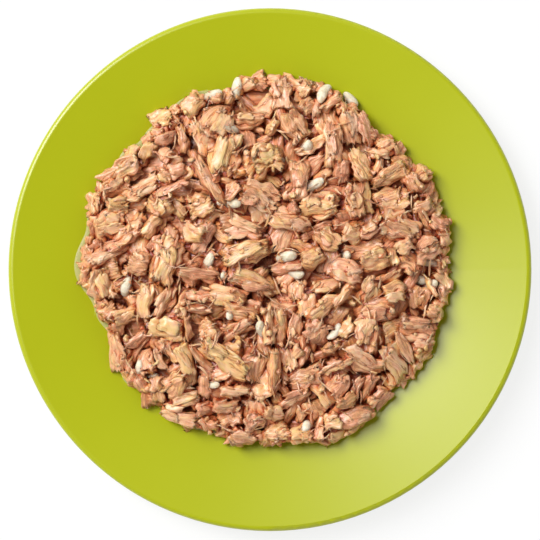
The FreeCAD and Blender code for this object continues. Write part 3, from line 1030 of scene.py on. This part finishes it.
def lay_juice():
    """A thin film of juice round the foot of the heap, its edge rounded."""
    spokes = 360
    degree = np.arange(spokes) * 360 / spokes
    angle = np.radians(degree)
    draw = np.random.default_rng(JUICE_SEED).uniform
    edge = ground.far[degree.astype(int)] - JUICE_INSET + smooth_loop(spokes, 40, 0.35, draw)
    edge = edge + np.array([juice_reach(d) for d in degree])
    rows = []
    for out, up in JUICE_SECTION:
        r = edge + out
        x, y = r * np.cos(angle), r * np.sin(angle)
        rows.append(np.stack([x, y, ground.plate[ground.index(x, y)] + up], 1))
    points = np.vstack(rows)
    quads = ring_quads(len(rows), spokes, closed=True)
    pieces["juice"].add(points, quads, np.zeros((0, 3), int), points[:, :2], 0.5)


def build_heap():
    """Lays the whole heap, from the core up, and makes its pieces."""
    lay_field()
    lay_edge()
    lay_rice(scattered_rice())
    lay_top()
    lay_edge()
    lay_rice(RICE)
    lay_crumbs()
    lay_loose_shreds()
    lay_juice()
    flesh = flesh_material()
    core = make_core()
    sky = sky_tree([core, *pieces.values()])
    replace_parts(core.make(flesh, sky), "tuna_heap")
    own = {"rice": rice_material(), "juice": juice_material()}
    for name, piece in pieces.items():
        piece.make(own.get(name, flesh), sky)


# ---- light, floor and camera
# Lengths here are metres.
LAMP_DISTANCE = 3.0
# The two soft lamps: degrees from the zenith, and anticlockwise from +X, size and power.
LAMPS = (("key", 46.0, 145.0, 1.5, 61.5), ("top", 26.0, 147.0, 1.25, 35.0))
ROOM_LIGHT = ((0.45, 0.5), (0.95, 0.12))  # the room's light by the sine of its height: dim overhead
FLOOR_REACH = 3.0
FLOOR_WHITE = 0.99
FLOOR_BLEACH = 0.82  # how far its shadow is faded towards white where it is looked at
FRAME_SHARE = 1.031  # the picture's width over the plate's
LENS, SENSOR = 200, 36  # millimetres
CAMERA_FORWARD = -0.0001  # a hair to the front of straight above, the side of azimuth 0


def floor_material():
    """White, with its shadows, and faded towards white where it is seen."""
    n = Nodes(bpy.data.materials.new("floor_white"))
    n.set(Base_Color=(FLOOR_WHITE, FLOOR_WHITE, FLOOR_WHITE), Roughness=0.9, Specular_IOR_Level=0.0)
    path = n.node("ShaderNodeLightPath").outputs
    looking = n.math("MAXIMUM", path["Is Camera Ray"], path["Is Glossy Ray"])
    looking = n.math("MAXIMUM", looking, path["Is Transmission Ray"])
    both = n.node("ShaderNodeMixShader")
    n.link(n.math("MULTIPLY", looking, FLOOR_BLEACH), both.inputs[0])
    n.link(n.shader.outputs[0], both.inputs[1])
    n.link(n.node("ShaderNodeEmission").outputs[0], both.inputs[2])
    n.link(both.outputs[0], n.tree.nodes["Material Output"].inputs["Surface"])
    return n.owner


def set_floor():
    mesh = bpy.data.meshes.new("floor")
    far = FLOOR_REACH
    mesh.from_pydata([(-far, -far, 0), (far, -far, 0), (far, far, 0), (-far, far, 0)], [], [(0, 1, 2, 3)])
    mesh.materials.append(floor_material())
    floor = bpy.data.objects.new("floor", mesh)
    scene.collection.objects.link(floor)


def set_room():
    """Even light from all round, dimmer overhead."""
    scene.world = bpy.data.worlds.new("studio")
    n = Nodes(scene.world, "Background")
    levels = [(height, (level, level, level)) for height, level in ROOM_LIGHT]
    n.set(Color=n.ramp(n.third(n.place("Generated")), levels))


def set_lamps():
    for name, tilt, turn, size, power in LAMPS:
        data = bpy.data.lights.new(name, "AREA")
        data.shape = "DISK"
        data.size = size
        data.energy = power
        lamp = bpy.data.objects.new(name, data)
        tilt, turn = math.radians(tilt), math.radians(turn)
        toward = Vector((math.sin(tilt) * math.cos(turn), math.sin(tilt) * math.sin(turn), math.cos(tilt)))
        lamp.location = toward * LAMP_DISTANCE
        lamp.rotation_mode = "QUATERNION"
        lamp.rotation_quaternion = (-toward).to_track_quat("-Z", "Y")
        scene.collection.objects.link(lamp)


def set_camera():
    """Straight above the plate, as far as a long lens needs to frame it."""
    low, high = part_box("plate")
    across = (high.x - low.x) * FRAME_SHARE
    data = bpy.data.cameras.new("camera")
    data.lens = LENS
    data.sensor_width = SENSOR
    camera = bpy.data.objects.new("camera", data)
    distance = across * data.lens / data.sensor_width
    camera.location = (0, CAMERA_FORWARD, high.z + distance)
    scene.collection.objects.link(camera)
    scene.camera = camera


scene = bpy.context.scene
scene.view_settings.view_transform = "Standard"
set_camera()
set_floor()
set_room()
set_lamps()
PLATE.data.materials.clear()
PLATE.data.materials.append(plate_material())
build_heap()
